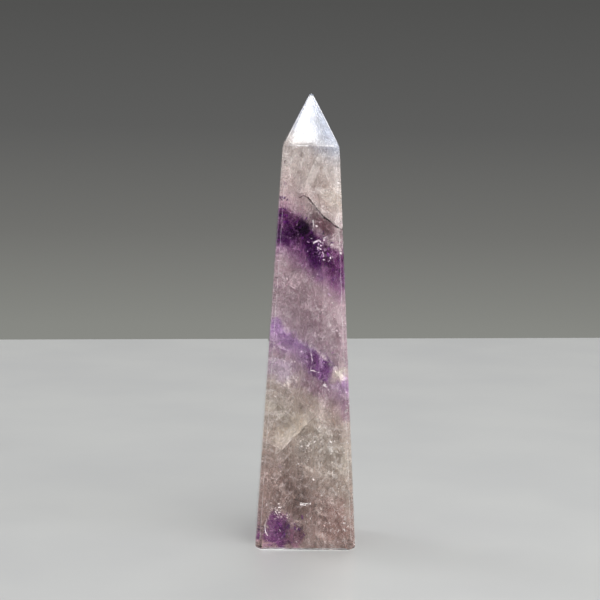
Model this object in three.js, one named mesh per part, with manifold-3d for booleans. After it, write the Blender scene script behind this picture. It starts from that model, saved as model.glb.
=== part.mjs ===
// A polished amethyst obelisk, cut from one piece of quartz: a square shaft that narrows
// upwards, with chamfered corners, and a four-sided point on top. Millimetres, +Z up.
// The origin is the middle of the face that the obelisk stands on.

import Module from "manifold-3d";
import * as THREE from "three";
import { mergeVertices } from "three/addons/utils/BufferGeometryUtils.js";

// Driving dimensions
const HEIGHT = 120;
const BASE_WIDTH = 26.5;
const SHOULDER_WIDTH = 14.9;
const SHOULDER_HEIGHT = 106.5;
const CORNER_CHAMFER = 1;
const BASE_BEVEL = 0.7;
const TIP_WIDTH = 0.8;

// Finish of the polished stone
const STONE_COLOUR = 0xa58f9c;
const STONE_ROUGHNESS = 0.08;
const STONE_METALNESS = 0;

const SIDES = 4;
const FACES_SQUARE_ON = Math.PI / SIDES;
const CORNERS_SQUARE_ON = 0;
const QUARTER_TURN = Math.PI / 2;

const wasm = await Module();
wasm.setup();

// Half the width of the shaft at a height, carried on in the same line above the shoulder.
function shaftHalfWidth(height) {
  const share = (height - BASE_BEVEL) / (SHOULDER_HEIGHT - BASE_BEVEL);
  return THREE.MathUtils.lerp(BASE_WIDTH, SHOULDER_WIDTH, share) / 2;
}

// A closed four-sided body around +Z. The profile gives [corner radius, height] pairs
// from the bottom up, and the turn says which way the four faces look.
function fourSidedBody(profile, turn) {
  const bottom = new THREE.Vector2(0, profile[0][1]);
  const top = new THREE.Vector2(0, profile[profile.length - 1][1]);
  const ring = profile.map(([radius, height]) => new THREE.Vector2(radius, height));
  const body = new THREE.LatheGeometry([bottom, ...ring, top], SIDES, turn);
  return body.rotateX(QUARTER_TURN);
}

// The obelisk with sharp corners: bevelled foot, shaft, point and blunted tip.
function sharpObelisk() {
  const cornerRadius = (halfWidth) => halfWidth * Math.SQRT2;
  const profile = [
    [cornerRadius(BASE_WIDTH / 2 - BASE_BEVEL), 0],
    [cornerRadius(BASE_WIDTH / 2), BASE_BEVEL],
    [cornerRadius(SHOULDER_WIDTH / 2), SHOULDER_HEIGHT],
    [cornerRadius(TIP_WIDTH / 2), HEIGHT],
  ];
  return fourSidedBody(profile, FACES_SQUARE_ON);
}

// A body that stands diagonally around the obelisk and keeps what lies within the
// chamfers. It runs up past the shoulder, so each chamfer ends in a point on a hip.
function chamferLimits() {
  const cornerRadius = (halfWidth) => 2 * halfWidth - CORNER_CHAMFER;
  const profile = [
    [cornerRadius(BASE_WIDTH / 2 - BASE_BEVEL), 0],
    [cornerRadius(BASE_WIDTH / 2), BASE_BEVEL],
    [cornerRadius(shaftHalfWidth(HEIGHT)), HEIGHT],
  ];
  return fourSidedBody(profile, CORNERS_SQUARE_ON);
}

// The geometry as a solid, with its shared vertices merged and its empty triangles,
// which lie on the axis, left out.
function toSolid(geometry) {
  const bare = geometry.clone();
  bare.deleteAttribute("normal");
  bare.deleteAttribute("uv");
  const merged = mergeVertices(bare);
  const corners = Array.from(merged.index.array);
  const triangles = [];
  for (let start = 0; start < corners.length; start += 3) {
    const triangle = corners.slice(start, start + 3);
    if (new Set(triangle).size === 3) {
      triangles.push(...triangle);
    }
  }
  const mesh = new wasm.Mesh({
    numProp: 3,
    vertProperties: new Float32Array(merged.attributes.position.array),
    triVerts: new Uint32Array(triangles),
  });
  return new wasm.Manifold(mesh);
}

// A solid as a geometry with flat-shaded faces.
function toGeometry(solid) {
  const mesh = solid.getMesh();
  const indexed = new THREE.BufferGeometry();
  indexed.setAttribute("position", new THREE.BufferAttribute(mesh.vertProperties, 3));
  indexed.setIndex(new THREE.BufferAttribute(mesh.triVerts, 1));
  const geometry = indexed.toNonIndexed();
  geometry.computeVertexNormals();
  return geometry;
}

function makeObelisk() {
  const solid = toSolid(sharpObelisk()).intersect(toSolid(chamferLimits()));
  const stone = new THREE.MeshStandardMaterial({
    color: STONE_COLOUR,
    roughness: STONE_ROUGHNESS,
    metalness: STONE_METALNESS,
  });
  const obelisk = new THREE.Mesh(toGeometry(solid), stone);
  obelisk.name = "obelisk";
  return obelisk;
}

const group = new THREE.Group();
group.add(makeObelisk());

export default group;
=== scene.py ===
"""The looks of a polished amethyst obelisk: skin, colour zones, veils, flecks and studio.

Lengths are in metres, apart from names that end in _mm. The stone stands on the origin
with +Z up, and the face that the camera sees looks towards -Y.
"""

import logging
import math
from abc import ABC, abstractmethod
from collections.abc import Callable, Sequence
from dataclasses import dataclass
from enum import Enum

import bpy
import numpy as np
from mathutils import Matrix, Vector


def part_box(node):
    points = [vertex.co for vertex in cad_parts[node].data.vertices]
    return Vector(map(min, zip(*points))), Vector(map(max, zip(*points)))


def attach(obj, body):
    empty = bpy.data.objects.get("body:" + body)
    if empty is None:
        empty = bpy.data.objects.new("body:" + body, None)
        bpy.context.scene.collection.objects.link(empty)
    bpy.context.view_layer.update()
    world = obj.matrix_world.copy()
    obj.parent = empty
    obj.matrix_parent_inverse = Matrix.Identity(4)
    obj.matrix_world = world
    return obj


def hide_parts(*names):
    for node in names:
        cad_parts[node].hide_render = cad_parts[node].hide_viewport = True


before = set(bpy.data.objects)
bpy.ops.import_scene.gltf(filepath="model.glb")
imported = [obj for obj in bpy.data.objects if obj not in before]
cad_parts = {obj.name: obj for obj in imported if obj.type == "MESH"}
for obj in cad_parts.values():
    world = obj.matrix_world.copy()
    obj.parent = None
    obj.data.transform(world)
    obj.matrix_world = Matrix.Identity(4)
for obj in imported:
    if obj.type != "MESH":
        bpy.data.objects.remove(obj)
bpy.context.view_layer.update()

LOG = logging.getLogger("obelisk")
MM = 0.001
BODY = "root"
NODE = "obelisk"
QUARTER = math.pi / 2
WHITE = (1.0, 1.0, 1.0, 1.0)

Pair = tuple[float, float]
Colour = tuple[float, float, float]
Place = tuple[float, float, float]
Sheet = tuple[np.ndarray, np.ndarray]
Heights = Callable[[np.ndarray, np.ndarray], np.ndarray]
Inputs = dict[str | int, object]
Node, Socket, Tree = bpy.types.Node, bpy.types.NodeSocket, bpy.types.NodeTree
Thing, Material = bpy.types.Object, bpy.types.Material


def srgb(red: int, green: int, blue: int) -> Colour:
    """A colour given as display values from 0 to 255, as linear light.

    Args:
        red: The red display value.
        green: The green display value.
        blue: The blue display value.

    Returns:
        The linear red, green and blue.
    """
    shares = [value / 255 for value in (red, green, blue)]
    return tuple(s / 12.92 if s <= 0.04045 else ((s + 0.055) / 1.055) ** 2.4 for s in shares)


def opaque(colour: Colour) -> tuple[float, float, float, float]:
    """A colour with the fourth number that node sockets ask for."""
    return (*colour, 1.0)


@dataclass(frozen=True)
class Grain:
    """A noise pattern: the size of its features, its finer layers and the values it spans."""

    size: float
    detail: float = 2.0
    rough: float = 0.5
    values: Pair = (0.3, 0.7)
    bend: float = 0.0


@dataclass(frozen=True)
class CrackNet:
    """A net of thin lines: its cells, the lines' share of a cell, and its stretch and turn."""

    cell: float
    width: float
    scale: Place
    turn: Place


class NodeBench:
    """Adds nodes to one node tree, with short calls for the kinds used here."""

    def __init__(self, tree: Tree) -> None:
        """Takes the tree that the nodes go into."""
        self.tree = tree

    def feed(self, socket: Socket, value: object) -> None:
        """Links a socket to an input, or sets the input to a plain value.

        Args:
            socket: The input.
            value: What goes into it.
        """
        if isinstance(value, Socket):
            self.tree.links.new(value, socket)
        else:
            socket.default_value = value

    def wire(self, node: Node, inputs: Inputs) -> Node:
        """Feeds several inputs of a node.

        Args:
            node: The node.
            inputs: What goes into each input, by its name or number.

        Returns:
            The same node.
        """
        for name, value in inputs.items():
            self.feed(node.inputs[name], value)
        return node

    def add(self, kind: str, inputs: Inputs | None = None, **settings: object) -> Node:
        """Makes one node.

        Args:
            kind: The node's type name.
            inputs: What goes into its inputs.
            settings: Properties to set on it first.

        Returns:
            The new node.
        """
        node = self.tree.nodes.new(kind)
        for name, value in settings.items():
            setattr(node, name, value)
        return self.wire(node, inputs or {})

    def place(self) -> Socket:
        """The place on the piece, in Object coordinates."""
        return self.add("ShaderNodeTexCoord").outputs["Object"]

    def axes(self, place: Socket) -> bpy.types.bpy_prop_collection:
        """A place's X, Y and Z sockets."""
        return self.add("ShaderNodeSeparateXYZ", {0: place}).outputs

    def math(self, operation: str, first: object, second: object = 0.0, clamp: bool = False) -> Socket:
        """One arithmetic step.

        Args:
            operation: The operation's name.
            first: Its first value or socket.
            second: Its second value or socket.
            clamp: Whether the result is kept within 0 and 1.

        Returns:
            The result's socket.
        """
        node = self.add("ShaderNodeMath", {0: first, 1: second}, operation=operation, use_clamp=clamp)
        return node.outputs[0]

    def vector(self, operation: str, first: object, second: object = (0.0, 0.0, 0.0),
               scale: object = 1.0) -> Socket:
        """One step of vector arithmetic.

        Args:
            operation: The operation's name.
            first: Its first vector or socket.
            second: Its second vector or socket.
            scale: The factor, where the operation has one.

        Returns:
            The result's socket.
        """
        node = self.add("ShaderNodeVectorMath", {0: first, 1: second, 3: scale}, operation=operation)
        return node.outputs["Value" if operation == "LENGTH" else "Vector"]

    def span(self, value: object, low: float, high: float, out_low: float = 0.0, out_high: float = 1.0,
             smooth: bool = True) -> Socket:
        """Spreads a range of values over another, without running past its ends.

        Args:
            value: The value or socket to spread.
            low: The value that gives out_low.
            high: The value that gives out_high.
            out_low: The result at low.
            out_high: The result at high.
            smooth: Whether the change starts and ends softly.

        Returns:
            The result's socket.
        """
        ends = {"Value": value, "From Min": low, "From Max": high, "To Min": out_low, "To Max": out_high}
        kind = "SMOOTHSTEP" if smooth else "LINEAR"
        return self.add("ShaderNodeMapRange", ends, interpolation_type=kind, clamp=True).outputs["Result"]

    def noise(self, place: Socket, grain: Grain) -> Socket:
        """Smooth noise.

        Args:
            place: The coordinates that it follows.
            grain: Its size and its finer layers.

        Returns:
            The noise's value.
        """
        node = self.add("ShaderNodeTexNoise", {
            "Vector": place, "Scale": 1 / grain.size, "Detail": grain.detail, "Roughness": grain.rough,
            "Distortion": grain.bend})
        return node.outputs["Fac"]

    def spread(self, place: Socket, grain: Grain, low: float = 0.0, high: float = 1.0,
               smooth: bool = True) -> Socket:
        """Noise spread between two values.

        Args:
            place: The coordinates that it follows.
            grain: Its size and finer layers, and the values that it spans.
            low: The least result.
            high: The greatest result.
            smooth: Whether the change starts and ends softly.

        Returns:
            The result's socket.
        """
        return self.span(self.noise(place, grain), *grain.values, low, high, smooth)

    def cracks(self, place: Socket, net: CrackNet) -> Socket:
        """A net of thin lines.

        Args:
            place: The coordinates that it follows.
            net: Its cells, its lines and the way it lies.

        Returns:
            A value that is 1 on a line and 0 between the lines.
        """
        inputs = {"Vector": self.stretch(place, net.scale, net.turn), "Scale": 1 / net.cell}
        cells = self.add("ShaderNodeTexVoronoi", inputs, feature="DISTANCE_TO_EDGE")
        return self.span(cells.outputs["Distance"], 0.0, net.width, 1.0, 0.0)

    def stretch(self, place: Socket, scale: Place, turn: Place = (0.0, 0.0, 0.0)) -> Socket:
        """Coordinates turned and scaled, so that a pattern on them is drawn out.

        Args:
            place: The coordinates.
            scale: The factor along each axis.
            turn: The turn about each axis.

        Returns:
            The new coordinates.
        """
        inputs = {"Vector": place, "Rotation": turn, "Scale": scale}
        return self.add("ShaderNodeMapping", inputs, vector_type="POINT").outputs["Vector"]

    def blend(self, share: object, first: object, second: object, mode: str = "MIX") -> Socket:
        """Blends two colours.

        Args:
            share: How much of the second colour, from 0 to 1.
            first: The first colour or socket.
            second: The second colour or socket.
            mode: How they blend.

        Returns:
            The blended colour's socket.
        """
        first, second = (opaque(part) if isinstance(part, tuple) else part for part in (first, second))
        node = self.add("ShaderNodeMix", data_type="RGBA", blend_type=mode, clamp_factor=True)
        return self.wire(node, {0: share, 6: first, 7: second}).outputs[2]

    def ramp(self, share: Socket, stops: Sequence[tuple[float, Sequence[float]]]) -> Node:
        """A row of colours that run into one another.

        Args:
            share: The place in the row, from 0 to 1.
            stops: Each colour's place in the row and its four numbers.

        Returns:
            The node, with its Color and Alpha outputs.
        """
        node = self.add("ShaderNodeValToRGB", {0: share})
        elements = node.color_ramp.elements
        while len(elements) > 1:
            elements.remove(elements[-1])
        for number, (spot, colour) in enumerate(stops):
            element = elements.new(spot) if number else elements[0]
            element.position = spot
            element.color = colour
        return node

    def absorb(self, colour: Colour, density: float) -> None:
        """Gives a material plain absorption in its depth.

        Args:
            colour: The colour that light keeps.
            density: How strongly the other colours are taken away.
        """
        depth = self.add("ShaderNodeVolumeAbsorption", {"Color": opaque(colour), "Density": density})
        self.feed(self.tree.nodes["Material Output"].inputs["Volume"], depth.outputs["Volume"])


@dataclass(frozen=True)
class StoneForm:
    """The cut form: a tapered square shaft with chamfered corners and a pyramid point."""

    base_half: float
    height: float
    shoulder_half: float = 7.45 * MM
    shoulder_height: float = 106.5 * MM
    chamfer: float = 1.0 * MM
    base_bevel: float = 0.7 * MM
    tip_half: float = 0.4 * MM

    @classmethod
    def of_node(cls, node: str) -> "StoneForm":
        """The form with its overall size taken from the frame's node."""
        low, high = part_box(node)
        return cls(base_half=(high.x - low.x) / 2, height=high.z - low.z)

    @property
    def taper(self) -> float:
        """How much the shaft's half width shrinks for each metre upwards."""
        return (self.base_half - self.shoulder_half) / (self.shoulder_height - self.base_bevel)

    @property
    def point_taper(self) -> float:
        """How much the point's half width shrinks for each metre upwards."""
        return (self.shoulder_half - self.tip_half) / (self.height - self.shoulder_height)

    def shaft_half(self, height: np.ndarray) -> np.ndarray:
        """Half the shaft's width at each height, carried on in line past its ends."""
        return self.base_half - self.taper * (height - self.base_bevel)

    def half(self, height: np.ndarray) -> np.ndarray:
        """Half the stone's width, with its bevel and its point.

        Args:
            height: The heights to find it at.

        Returns:
            Half the width at each height.
        """
        point = self.shoulder_half - self.point_taper * (height - self.shoulder_height)
        bevel = self.base_half - self.base_bevel + height
        return np.minimum(np.minimum(self.shaft_half(height), point), bevel)

    def planes(self) -> tuple[np.ndarray, np.ndarray]:
        """The flat faces as planes.

        Returns:
            The outward unit normals, one a row, and each plane's distance from the origin.
        """
        root = math.sqrt(2)
        level = self.base_half + self.taper * self.base_bevel
        foot = self.base_half - self.base_bevel
        top = self.shoulder_half + self.point_taper * self.shoulder_height
        rows = [(0, 0, -1, 0), (0, 0, 1, self.height)]
        for x, y in [(1, 0), (0, 1), (-1, 0), (0, -1)]:
            rows += [(x, y, self.taper, level), (x, y, self.point_taper, top), (x, y, -1, foot)]
        for x, y in [(1, 1), (-1, 1), (-1, -1), (1, -1)]:
            across, up, cut = x / root, y / root, self.chamfer / root
            rows.append((across, up, root * self.taper, root * level - cut))
            rows.append((across, up, -root, root * foot - cut))
        table = np.array(rows, float)
        length = np.linalg.norm(table[:, :3], axis=1)
        return table[:, :3] / length[:, None], table[:, 3] / length


def add_sockets(tree: Tree, way: str, **kinds: str) -> None:
    """Gives a node group its inputs or its outputs.

    Args:
        tree: The node group.
        way: INPUT or OUTPUT.
        kinds: What each socket carries, by its name.
    """
    for label, kind in kinds.items():
        tree.interface.new_socket(label, in_out=way, socket_type="NodeSocket" + kind)


def grid_faces(rows: int, columns: int, wrap: bool = False) -> np.ndarray:
    """The four-cornered faces of a grid of points.

    Args:
        rows: How many rows of points.
        columns: How many points in a row.
        wrap: Whether each row closes on itself.

    Returns:
        One face a row, as four point numbers.
    """
    across = np.arange(columns if wrap else columns - 1)
    row, column = np.meshgrid(np.arange(rows - 1), across, indexing="ij")
    here, there = row * columns + column, row * columns + (column + 1) % columns
    return np.stack([part.ravel() for part in (here, there, there + columns, here + columns)], axis=1)


def join_sheets(sheets: Sequence[Sheet]) -> Sheet:
    """Puts several sheets together.

    Args:
        sheets: Each sheet's points and faces.

    Returns:
        All their points and all their faces.
    """
    starts = np.cumsum([0] + [len(points) for points, _ in sheets])
    faces = [cells + start for (_, cells), start in zip(sheets, starts)]
    return np.concatenate([points for points, _ in sheets]), np.concatenate(faces)


def facing_out(points: np.ndarray, faces: list[list[int]]) -> list[list[int]]:
    """Turns the faces of a closed shell so that they look outwards.

    Args:
        points: One point a row.
        faces: Each face as point numbers, all turned the same way.

    Returns:
        The faces, turned round where they looked inwards.
    """
    volume = 0.0
    for first, *others in faces:
        for second, third in zip(others, others[1:]):
            volume += float(np.dot(points[first], np.cross(points[second], points[third])))
    return faces if volume >= 0 else [face[::-1] for face in faces]


def mesh_object(name: str, points: np.ndarray, faces: Sequence[Sequence[int]],
                material: Material | None = None, smooth: bool = True, shades: bool = True) -> Thing:
    """Makes a mesh object at the origin and links it to the scene.

    Args:
        name: The piece's name.
        points: One point a row.
        faces: Each face as point numbers.
        material: What it is dressed in.
        smooth: Whether its faces are shaded smooth.
        shades: Whether it casts a shadow.

    Returns:
        The new object.
    """
    mesh = bpy.data.meshes.new(name)
    mesh.from_pydata(points.tolist(), [], [list(map(int, face)) for face in faces])
    mesh.validate()
    mesh.update()
    mesh.polygons.foreach_set("use_smooth", [smooth] * len(mesh.polygons))
    if material:
        mesh.materials.append(material)
    thing = bpy.data.objects.new(name, mesh)
    bpy.context.scene.collection.objects.link(thing)
    thing.visible_shadow = shades
    return thing


def mesh_sheet(thing: Thing) -> tuple[np.ndarray, list[list[int]]]:
    """An object's points, one a row, and its faces as point numbers."""
    points = np.array([vertex.co for vertex in thing.data.vertices], float)
    return points, [list(face.vertices) for face in thing.data.polygons]


@dataclass
class Waves:
    """Slow, smooth wandering of a surface, drawn from a seed."""

    seed: int
    height: float
    length: float
    count: int = 6
    paces: Pair = (0.6, 1.9)
    heights: Pair = (0.4, 1.0)

    def __post_init__(self) -> None:
        """Draws the waves' directions and phases."""
        draw = np.random.default_rng(self.seed)
        angle = draw.uniform(0, math.tau, self.count)
        pace = draw.uniform(*self.paces, self.count) * math.tau / self.length
        self.steps = np.stack([np.cos(angle) * pace, np.sin(angle) * pace], axis=1)
        self.phase = draw.uniform(0, math.tau, self.count)
        self.share = draw.uniform(*self.heights, self.count) / pace
        self.share *= self.height / np.abs(self.share).sum()

    def at(self, first: np.ndarray, second: np.ndarray) -> np.ndarray:
        """The surface's offset.

        Args:
            first: The first coordinate of each place.
            second: The second coordinate of each place.

        Returns:
            The offset at each place.
        """
        total = np.zeros(np.broadcast(first, second).shape)
        for (step_a, step_b), phase, share in zip(self.steps, self.phase, self.share):
            total += share * np.sin(first * step_a + second * step_b + phase)
        return total


def slanting(level: float, slope_x: float, slope_y: float, waves: Waves) -> Heights:
    """A wavy slanting plane.

    Args:
        level: Its height on the stone's axis.
        slope_x: How it rises to the right.
        slope_y: How it rises backwards.
        waves: How it wanders.

    Returns:
        The plane's height as a function of the place in the stone's section.
    """
    return lambda across, through: level + slope_x * across + slope_y * through + waves.at(across, through)


LEAST_HALF = 0.2 * MM
LOWEST = 0.1 * MM
FIT_ROUNDS = 30
CORNER_SHARPNESS = 12
TOP_INSETS = 3


def fit_across(form: StoneForm, heights: Heights, inset: float, steps: int) -> np.ndarray:
    """A surface across the stone, from side to side.

    Args:
        form: The cut form.
        heights: Gives the surface's height over the section.
        inset: How far it stays within the stone's sides.
        steps: How many points along each side.

    Returns:
        The surface's points, a grid of rows in one list.
    """
    share = np.linspace(-1, 1, steps)
    first, second = (part.ravel() for part in np.meshgrid(share, share, indexing="xy"))
    level = np.full(len(first), 0.5 * form.height)
    for _ in range(FIT_ROUNDS):
        width = np.maximum(form.half(level) - inset, LEAST_HALF)
        wanted = np.clip(heights(first * width, second * width), LOWEST, form.height - TOP_INSETS * inset)
        level = (level + wanted) / 2
    width = np.maximum(form.half(level) - inset, LEAST_HALF)
    nearest = np.minimum(np.abs(first), np.abs(second))
    corner = 1 - 0.5 * form.chamfer / width * nearest**CORNER_SHARPNESS
    return np.column_stack([first * width * corner, second * width * corner, level])


@dataclass(frozen=True)
class Nick:
    """A small scoop knocked out of an edge."""

    place: Place
    radius: float


@dataclass
class StoneSkin:
    """The polished outside of the stone, with softly rounded edges and small nicks."""

    form: StoneForm
    edge: float = 0.1 * MM
    crown: float = 0.008 / MM
    face_points: int = 17
    corner_points: int = 6
    point_rings: int = 22
    ring_gap: float = 0.45 * MM
    edge_gaps_mm: tuple[float, ...] = (0.0, 0.08, 0.18, 0.32, 0.55, 0.9, 1.4, 2.0)
    tip_gaps_mm: tuple[float, ...] = (0.8, 0.6, 0.45, 0.3, 0.18, 0.08, 0.0)
    bevel_rises_mm: tuple[float, ...] = (0.15, 0.35, 0.55)
    foot_rings_mm: Pair = (6.0, 3.0)
    axis_ends_mm: Pair = (12.0, 6.0)
    shaft_gaps_mm: Pair = (2.4, 2.2)
    point_gaps_mm: Pair = (2.3, 1.0)
    tip_shares: Pair = (0.75, 0.4)
    point_slants: Pair = (0.3, 0.9)
    least_cut: float = 0.05 * MM
    deepest: float = 0.6
    rounds: int = 40

    def __post_init__(self) -> None:
        """Finds the flat faces and places the nicks."""
        self.normals, self.distances = self.form.planes()
        base = self.form.base_half
        self.nicks = [Nick((base - 0.2 * MM, -base + 0.1 * MM, 0.9 * MM), 0.75 * MM),
                      Nick((-2.9 * MM, -base - 0.15 * MM, 0.0 * MM), 0.55 * MM)]

    def depth(self, points: np.ndarray) -> np.ndarray:
        """How far points lie outside the stone.

        Args:
            points: One point a row.

        Returns:
            Each point's distance, below zero inside the stone.
        """
        reach = points @ self.normals.T - self.distances
        least, most = self.point_slants
        point_faces = (self.normals[:, 2] > least) & (self.normals[:, 2] < most)
        aside = np.minimum(np.abs(points[:, 0]), np.abs(points[:, 1]))
        reach[:, point_faces] += (0.5 * self.crown * aside**2)[:, None]
        worst = reach.max(axis=1)
        soft = worst + self.edge * np.log(np.exp((reach - worst[:, None]) / self.edge).sum(axis=1))
        for nick in self.nicks:
            soft = np.maximum(soft, nick.radius - np.linalg.norm(points - np.array(nick.place), axis=1))
        return soft

    def levels(self) -> list[Pair]:
        """The rings of points that the skin is made of.

        Returns:
            Each ring's half width and height, from the foot's middle to the tip's.
        """
        form = self.form
        near = np.array(self.edge_gaps_mm) * MM
        foot = form.base_half - form.base_bevel
        rings = [(foot - inward, 0.0) for inward in (*(np.array(self.foot_rings_mm) * MM), *near[::-1])]
        rings += [(foot + rise, rise) for rise in np.array(self.bevel_rises_mm) * MM]
        low, high = self.shaft_gaps_mm
        shaft = np.arange(form.base_bevel + low * MM, form.shoulder_height - high * MM, self.ring_gap)
        heights = np.concatenate([form.base_bevel + near, shaft, form.shoulder_height - near[::-1]])
        rings += [(float(form.shaft_half(z)), float(z)) for z in heights]
        low, high = self.point_gaps_mm
        point = np.linspace(form.shoulder_height + low * MM, form.height - high * MM, self.point_rings)
        tip = form.height - np.array(self.tip_gaps_mm) * MM
        heights = np.concatenate([form.shoulder_height + near[1:], point, tip])
        rings += [(float(form.half(z)), float(z)) for z in heights]
        rings += [(form.tip_half * share, form.height) for share in self.tip_shares]
        return rings

    def ring(self, half: float, height: float) -> np.ndarray:
        """The sharp outline at one level.

        Args:
            half: Half its width.
            height: Its height.

        Returns:
            Its points around the axis, one a row.
        """
        form = self.form
        spare = 2 * (float(form.shaft_half(np.array(height))) - half)
        cut = min(max(form.chamfer - max(spare, 0.0), self.least_cut), 0.5 * half)
        if height <= 0:
            cut = min(form.chamfer, 0.5 * half)
        along = np.sin(np.linspace(-1, 1, self.face_points) * QUARTER) * (half - cut)
        side = np.stack([along, np.full_like(along, -half)], axis=1)
        share = np.linspace(0, 1, self.corner_points)[1:-1, None]
        corner = (1 - share) * np.array([half - cut, -half]) + share * np.array([half, cut - half])
        quarter = np.concatenate([side, corner])
        turned = []
        for turn in range(4):
            cosine, sine = math.cos(turn * QUARTER), math.sin(turn * QUARTER)
            turned.append(quarter @ np.array([[cosine, sine], [-sine, cosine]]))
        outline = np.concatenate(turned)
        return np.column_stack([outline, np.full(len(outline), height)])

    def settle(self, points: np.ndarray) -> np.ndarray:
        """Moves points on the sharp form inwards until they lie on the worn one.

        Args:
            points: One point a row.

        Returns:
            The moved points.
        """
        axis = np.zeros_like(points)
        low, high = self.axis_ends_mm
        axis[:, 2] = np.clip(points[:, 2], low * MM, self.form.shoulder_height - high * MM)
        outer, inner = np.zeros(len(points)), np.full(len(points), self.deepest)
        for _ in range(self.rounds):
            middle = (outer + inner) / 2
            outside = self.depth(points + middle[:, None] * (axis - points)) > 0
            outer = np.where(outside, middle, outer)
            inner = np.where(outside, inner, middle)
        return points + inner[:, None] * (axis - points)

    def build(self, material: Material) -> Thing:
        """Makes the closed skin and dresses it.

        Args:
            material: What it is dressed in.

        Returns:
            The piece.
        """
        rings = [self.ring(half, height) for half, height in self.levels()]
        around = len(rings[0])
        points = self.settle(np.concatenate(rings))
        points[:, 2] = np.clip(points[:, 2], 0.0, self.form.height)
        bottom, top, last = len(points), len(points) + 1, (len(rings) - 1) * around
        low, high = float(points[:around, 2].mean()), float(points[-around:, 2].mean())
        points = np.concatenate([points, [[0, 0, low], [0, 0, high]]])
        faces = grid_faces(len(rings), around, wrap=True).tolist()
        for place in range(around):
            following = (place + 1) % around
            faces.append([bottom, following, place])
            faces.append([top, last + place, last + following])
        return mesh_object("stone_skin", points, facing_out(points, faces), material, shades=False)


@dataclass(frozen=True)
class ZoneStop:
    """The stone's colour at one level along its growth, and how hazy it is there."""

    level_mm: float
    colour: Colour
    haze: float


@dataclass(frozen=True)
class ColourPatch:
    """A stained or pale spot in the stone, as an oval seen from the front."""

    centre_mm: Pair
    reach_mm: Pair
    tilt: float
    colour: Colour
    strength: float
    clearing: float = 0.0
    feather: float = 0.65


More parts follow.
